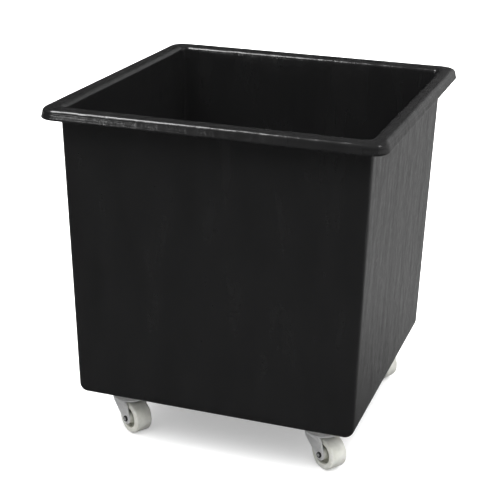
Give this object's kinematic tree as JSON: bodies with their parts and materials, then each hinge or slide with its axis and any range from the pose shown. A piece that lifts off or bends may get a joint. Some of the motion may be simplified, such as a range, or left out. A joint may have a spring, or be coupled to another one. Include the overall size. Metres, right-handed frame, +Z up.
{
  "type": "wheeled container truck",
  "caption": "Deep, nearly square plastic tub with a rolled rim, open at the top, on swivel castors that each turn and roll freely; for moving waste, bottles or laundry by hand.",
  "frame": {"origin": "on the ground under the middle of the tub, at the wheels' lowest points", "axes": "+Z up; +X to the truck's right-hand side, across the narrower plan dimension; -Y is the front"},
  "size_m": [0.5, 0.51, 0.526],
  "materials": {
    "tub_plastic": "black moulded polyethylene, fine orange peel, satin",
    "nylon": "natural off-white nylon, semi-gloss, slightly translucent",
    "fork_zinc": "bright zinc plated pressed steel, satin",
    "zinc_plate": "bright zinc plated pressed steel, satin",
    "zinc_fastener": "zinc plated steel",
    "nut_steel": "dull dark steel",
    "race_steel": "turned steel, lightly greased",
    "ball_steel": "polished bearing balls"
  },
  "bodies": {
    "tub": {"tub": "tub_plastic", "front_left_top_plate": "zinc_plate", "front_left_mount_bolts": "zinc_fastener", "front_left_mount_washers": "zinc_fastener", "front_left_mount_nuts": "zinc_fastener", "front_left_kingpin": "race_steel", "front_left_lower_race": "race_steel", "front_right_top_plate": "zinc_plate", "front_right_mount_bolts": "zinc_fastener", "front_right_mount_washers": "zinc_fastener", "front_right_mount_nuts": "zinc_fastener", "front_right_kingpin": "race_steel", "front_right_lower_race": "race_steel", "rear_left_top_plate": "zinc_plate", "rear_left_mount_bolts": "zinc_fastener", "rear_left_mount_washers": "zinc_fastener", "rear_left_mount_nuts": "zinc_fastener", "rear_left_kingpin": "race_steel", "rear_left_lower_race": "race_steel", "rear_right_top_plate": "zinc_plate", "rear_right_mount_bolts": "zinc_fastener", "rear_right_mount_washers": "zinc_fastener", "rear_right_mount_nuts": "zinc_fastener", "rear_right_kingpin": "race_steel", "rear_right_lower_race": "race_steel"},
    "front_left_swivel": {"front_left_fork": "fork_zinc", "front_left_upper_balls": "ball_steel", "front_left_lower_balls": "ball_steel", "front_left_axle_bolt": "zinc_fastener", "front_left_axle_nut": "nut_steel", "front_left_axle_sleeve": "race_steel"},
    "front_left_roller": {"front_left_wheel": "nylon"},
    "front_right_swivel": {"front_right_fork": "fork_zinc", "front_right_upper_balls": "ball_steel", "front_right_lower_balls": "ball_steel", "front_right_axle_bolt": "zinc_fastener", "front_right_axle_nut": "nut_steel", "front_right_axle_sleeve": "race_steel"},
    "front_right_roller": {"front_right_wheel": "nylon"},
    "rear_left_swivel": {"rear_left_fork": "fork_zinc", "rear_left_upper_balls": "ball_steel", "rear_left_lower_balls": "ball_steel", "rear_left_axle_bolt": "zinc_fastener", "rear_left_axle_nut": "nut_steel", "rear_left_axle_sleeve": "race_steel"},
    "rear_left_roller": {"rear_left_wheel": "nylon"},
    "rear_right_swivel": {"rear_right_fork": "fork_zinc", "rear_right_upper_balls": "ball_steel", "rear_right_lower_balls": "ball_steel", "rear_right_axle_bolt": "zinc_fastener", "rear_right_axle_nut": "nut_steel", "rear_right_axle_sleeve": "race_steel"},
    "rear_right_roller": {"rear_right_wheel": "nylon"}
  },
  "joints": [
    {"name": "front_left_swivel_turn", "type": "hinge", "parent": "tub", "child": "front_left_swivel", "pos_m": [-0.1565, -0.159, 0.0666], "axis": [0, 0, 1], "continuous": true},
    {"name": "front_left_wheel_roll", "type": "hinge", "parent": "front_left_swivel", "child": "front_left_roller", "pos_m": [-0.14241, -0.16851, 0.025], "axis": [0.5592, 0.829, 0], "continuous": true},
    {"name": "front_right_swivel_turn", "type": "hinge", "parent": "tub", "child": "front_right_swivel", "pos_m": [0.1565, -0.159, 0.0666], "axis": [0, 0, 1], "continuous": true},
    {"name": "front_right_wheel_roll", "type": "hinge", "parent": "front_right_swivel", "child": "front_right_roller", "pos_m": [0.17043, -0.16875, 0.025], "axis": [0.5736, 0.8192, 0], "continuous": true},
    {"name": "rear_left_swivel_turn", "type": "hinge", "parent": "tub", "child": "rear_left_swivel", "pos_m": [-0.1565, 0.159, 0.0666], "axis": [0, 0, 1], "continuous": true},
    {"name": "rear_left_wheel_roll", "type": "hinge", "parent": "rear_left_swivel", "child": "rear_left_roller", "pos_m": [-0.14178, 0.1505, 0.025], "axis": [0.5, 0.866, 0], "continuous": true},
    {"name": "rear_right_swivel_turn", "type": "hinge", "parent": "tub", "child": "rear_right_swivel", "pos_m": [0.1565, 0.159, 0.0666], "axis": [0, 0, 1], "continuous": true},
    {"name": "rear_right_wheel_roll", "type": "hinge", "parent": "rear_right_swivel", "child": "rear_right_roller", "pos_m": [0.17203, 0.15209, 0.025], "axis": [0.4067, 0.9135, 0], "continuous": true}
  ]
}
